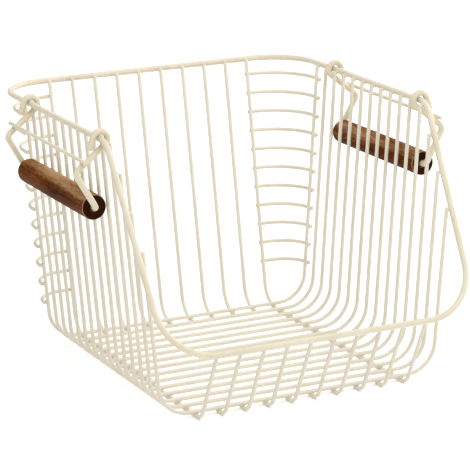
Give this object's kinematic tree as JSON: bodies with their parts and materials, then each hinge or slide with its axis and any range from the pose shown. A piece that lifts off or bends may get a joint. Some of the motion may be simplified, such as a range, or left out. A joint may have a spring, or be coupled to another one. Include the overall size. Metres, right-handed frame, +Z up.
{
  "type": "wire storage basket",
  "caption": "Open wire storage basket with a low scoop front and a pair of swinging bail handles with turned wooden grips.",
  "frame": {"origin": "on the ground under the middle of the basket's box", "axes": "+Z up, the low scoop front faces -Y, +X to the basket's right seen from the front"},
  "size_m": [0.314, 0.3216, 0.2155],
  "materials": {
    "ivory_coat": "satin powder coat",
    "dark_wood": "stained and oiled"
  },
  "bodies": {
    "basket": {"rim": "ivory_coat", "wall_wire_01": "ivory_coat", "wall_wire_02": "ivory_coat", "wall_wire_03": "ivory_coat", "wall_wire_04": "ivory_coat", "wall_wire_05": "ivory_coat", "wall_wire_06": "ivory_coat", "wall_wire_07": "ivory_coat", "wall_wire_08": "ivory_coat", "wall_wire_09": "ivory_coat", "wall_wire_10": "ivory_coat", "wall_wire_11": "ivory_coat", "wall_wire_12": "ivory_coat", "wall_wire_13": "ivory_coat", "wall_wire_14": "ivory_coat", "wall_wire_15": "ivory_coat", "back_wire_1": "ivory_coat", "back_wire_2": "ivory_coat", "back_wire_3": "ivory_coat", "back_wire_4": "ivory_coat", "back_wire_5": "ivory_coat", "back_wire_6": "ivory_coat", "back_wire_7": "ivory_coat", "back_wire_8": "ivory_coat", "front_wire_1": "ivory_coat", "front_wire_2": "ivory_coat", "front_wire_3": "ivory_coat", "front_wire_4": "ivory_coat", "front_wire_5": "ivory_coat", "front_wire_6": "ivory_coat", "front_wire_7": "ivory_coat", "front_wire_8": "ivory_coat", "left_runner": "ivory_coat", "right_runner": "ivory_coat", "left_corner_wire_01": "ivory_coat", "left_corner_wire_02": "ivory_coat", "left_corner_wire_03": "ivory_coat", "left_corner_wire_04": "ivory_coat", "left_corner_wire_05": "ivory_coat", "left_corner_wire_06": "ivory_coat", "left_corner_wire_07": "ivory_coat", "left_corner_wire_08": "ivory_coat", "left_corner_wire_09": "ivory_coat", "left_corner_wire_10": "ivory_coat", "left_corner_wire_11": "ivory_coat", "right_corner_wire_01": "ivory_coat", "right_corner_wire_02": "ivory_coat", "right_corner_wire_03": "ivory_coat", "right_corner_wire_04": "ivory_coat", "right_corner_wire_05": "ivory_coat", "right_corner_wire_06": "ivory_coat", "right_corner_wire_07": "ivory_coat", "right_corner_wire_08": "ivory_coat", "right_corner_wire_09": "ivory_coat", "right_corner_wire_10": "ivory_coat", "right_corner_wire_11": "ivory_coat"},
    "left_handle": {"left_bail": "ivory_coat"},
    "left_grip_roller": {"left_grip": "dark_wood"},
    "right_handle": {"right_bail": "ivory_coat"},
    "right_grip_roller": {"right_grip": "dark_wood"}
  },
  "joints": [
    {"name": "left_handle_swing", "type": "hinge", "parent": "basket", "child": "left_handle", "pos_m": [-0.1352, 0.00973, 0.2073], "axis": [0, 1, 0], "range_deg": [-1.5, 289]},
    {"name": "right_handle_swing", "type": "hinge", "parent": "basket", "child": "right_handle", "pos_m": [0.1352, 0.00973, 0.2073], "axis": [0, -1, 0], "range_deg": [-1.5, 289]},
    {"name": "left_grip_spin", "type": "hinge", "parent": "left_handle", "child": "left_grip_roller", "pos_m": [-0.14001, 0.00973, 0.1551], "axis": [0, 1, 0], "continuous": true},
    {"name": "right_grip_spin", "type": "hinge", "parent": "right_handle", "child": "right_grip_roller", "pos_m": [0.14001, 0.00973, 0.1551], "axis": [0, 1, 0], "continuous": true}
  ]
}
